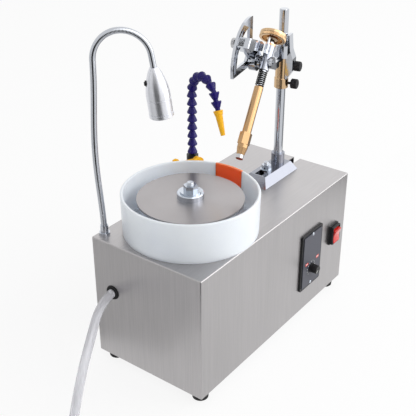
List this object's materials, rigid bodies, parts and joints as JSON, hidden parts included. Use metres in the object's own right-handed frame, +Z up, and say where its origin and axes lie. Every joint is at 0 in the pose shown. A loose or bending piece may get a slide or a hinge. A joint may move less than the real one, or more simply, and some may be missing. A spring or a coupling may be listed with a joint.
{
  "type": "flat lap grinding machine",
  "caption": "Bench wet grinder with a horizontal lap in a splash bowl, a column with a tilting indexed quill, a coolant hose and a gooseneck lamp.",
  "frame": {"origin": "on the floor under the middle of the cabinet", "axes": "+Z up, X along the cabinet with the column at +X and the lap at -X, controls on the -Y side"},
  "size_m": [0.6758, 0.2995, 0.4996],
  "materials": {
    "stainless": "brushed sheet",
    "plated": "zinc plated",
    "lap_metal": "ground",
    "chrome": "polished",
    "brass": "polished",
    "copper": "bare",
    "aluminium": "satin",
    "spring_steel": "oiled",
    "rubber": "matt",
    "black_plastic": "satin",
    "white_plastic": "satin",
    "orange_plastic": "matt",
    "clear_hose": "milky",
    "blue_plastic": "satin",
    "yellow_plastic": "satin",
    "grey_plastic": "matt",
    "red_plastic": "gloss",
    "dark_paint": "satin",
    "glass": "clear"
  },
  "bodies": {
    "cabinet": {"cabinet_shell": "stainless", "base_plate": "plated", "rubber_feet": "rubber", "foot_screws": "plated", "motor_mount": "plated", "motor_can": "dark_paint", "motor_end_cap": "aluminium", "motor_stator": "copper", "motor_bearings": "lap_metal", "splash_bowl": "white_plastic", "drain_spigot": "white_plastic", "drain_hose_inner": "clear_hose", "hose_grommet": "rubber", "drain_hose": "clear_hose", "drain_hose_coil": "clear_hose", "valve_body": "black_plastic", "hose_segments": "blue_plastic", "hose_nozzle": "yellow_plastic", "lamp_fitting": "chrome", "gooseneck": "chrome", "lamp_shell": "aluminium", "lamp_lens": "glass", "controller_case": "black_plastic", "controller_face": "grey_plastic", "rocker_bezel": "black_plastic", "cord_gland": "rubber"},
    "lap": {"spindle": "plated", "motor_rotor": "lap_metal", "lap_support": "aluminium", "lap_disc": "lap_metal", "lap_flange": "plated", "lap_washer": "plated", "lap_nut": "plated"},
    "gate": {"splash_gate": "orange_plastic"},
    "foot": {"column_base": "chrome", "base_bolt": "plated", "base_nut": "plated", "clamp_plate": "plated", "column": "chrome"},
    "collar": {"height_collar": "brass"},
    "collar_screw": {"collar_knob": "black_plastic"},
    "head": {"swivel_block": "chrome", "protractor": "chrome"},
    "swing_screw": {"swing_knob": "black_plastic"},
    "quill": {"hinge_pin": "chrome", "quill_housing": "chrome", "housing_bush": "copper", "index_pin": "chrome", "pointer_arm": "chrome", "quill_spring": "spring_steel"},
    "lock_screw": {"lock_knob": "chrome"},
    "index": {"index_wheel": "brass", "quill_spindle": "chrome", "quill_tube": "brass", "collet_nut": "brass", "dop_stick": "chrome"},
    "valve_lever": {"valve_handle": "yellow_plastic"},
    "lamp_button": {"lamp_switch": "black_plastic"},
    "dial": {"speed_knob": "black_plastic"},
    "switch": {"rocker": "red_plastic"}
  },
  "joints": [
    {"name": "lap_spin", "type": "hinge", "parent": "cabinet", "child": "lap", "pos_m": [-0.093, 0, 0.2575], "axis": [0, 0, 1], "continuous": true},
    {"name": "gate_lift", "type": "slide", "parent": "cabinet", "child": "gate", "axis": [0, 0, 1], "range_m": [0, 0.045]},
    {"name": "base_slide", "type": "slide", "parent": "cabinet", "child": "foot", "axis": [-1, 0, 0], "range_m": [-0.033, 0.027]},
    {"name": "head_height", "type": "slide", "parent": "foot", "child": "collar", "axis": [0, 0, 1], "range_m": [-0.036, 0.03]},
    {"name": "head_swing", "type": "hinge", "parent": "collar", "child": "head", "pos_m": [0.133, 0, 0.409], "axis": [0, 0, 1], "range_deg": [-4, 55]},
    {"name": "quill_tilt", "type": "hinge", "parent": "head", "child": "quill", "pos_m": [0.06368, -0.01537, 0.4117], "axis": [-0.2164, 0.9763, 0], "range_deg": [-40, 18]},
    {"name": "quill_index", "type": "hinge", "parent": "quill", "child": "index", "pos_m": [0.06368, -0.01537, 0.4117], "axis": [0.6328, 0.1403, 0.7615], "continuous": true},
    {"name": "lock_knob_turn", "type": "hinge", "parent": "quill", "child": "lock_screw", "pos_m": [0.01593, 0.00477, 0.44767], "axis": [-0.2164, 0.9763, 0], "range_deg": [0, 180]},
    {"name": "collar_knob_turn", "type": "hinge", "parent": "collar", "child": "collar_screw", "pos_m": [0.13733, -0.01953, 0.359], "axis": [0.2164, -0.9763, 0], "range_deg": [0, 180]},
    {"name": "swing_knob_turn", "type": "hinge", "parent": "head", "child": "swing_screw", "pos_m": [0.1382, -0.02343, 0.387], "axis": [0.2164, -0.9763, 0], "range_deg": [0, 180]},
    {"name": "valve_turn", "type": "hinge", "parent": "cabinet", "child": "valve_lever", "pos_m": [0.015, 0.08, 0.255], "axis": [0.4226, 0.9063, 0], "range_deg": [0, 90]},
    {"name": "lamp_button_press", "type": "slide", "parent": "cabinet", "child": "lamp_button", "axis": [0.7333, -0.6673, 0.1305], "range_m": [0, 0.0015], "stiffness_N_per_m": 400},
    {"name": "dial_turn", "type": "hinge", "parent": "cabinet", "child": "dial", "pos_m": [0.085, -0.105, 0.088], "axis": [0, 1, 0], "range_deg": [0, 270]},
    {"name": "rocker_tip", "type": "hinge", "parent": "cabinet", "child": "switch", "pos_m": [0.156, -0.091, 0.116], "axis": [-1, 0, 0], "range_deg": [0, 14]}
  ]
}
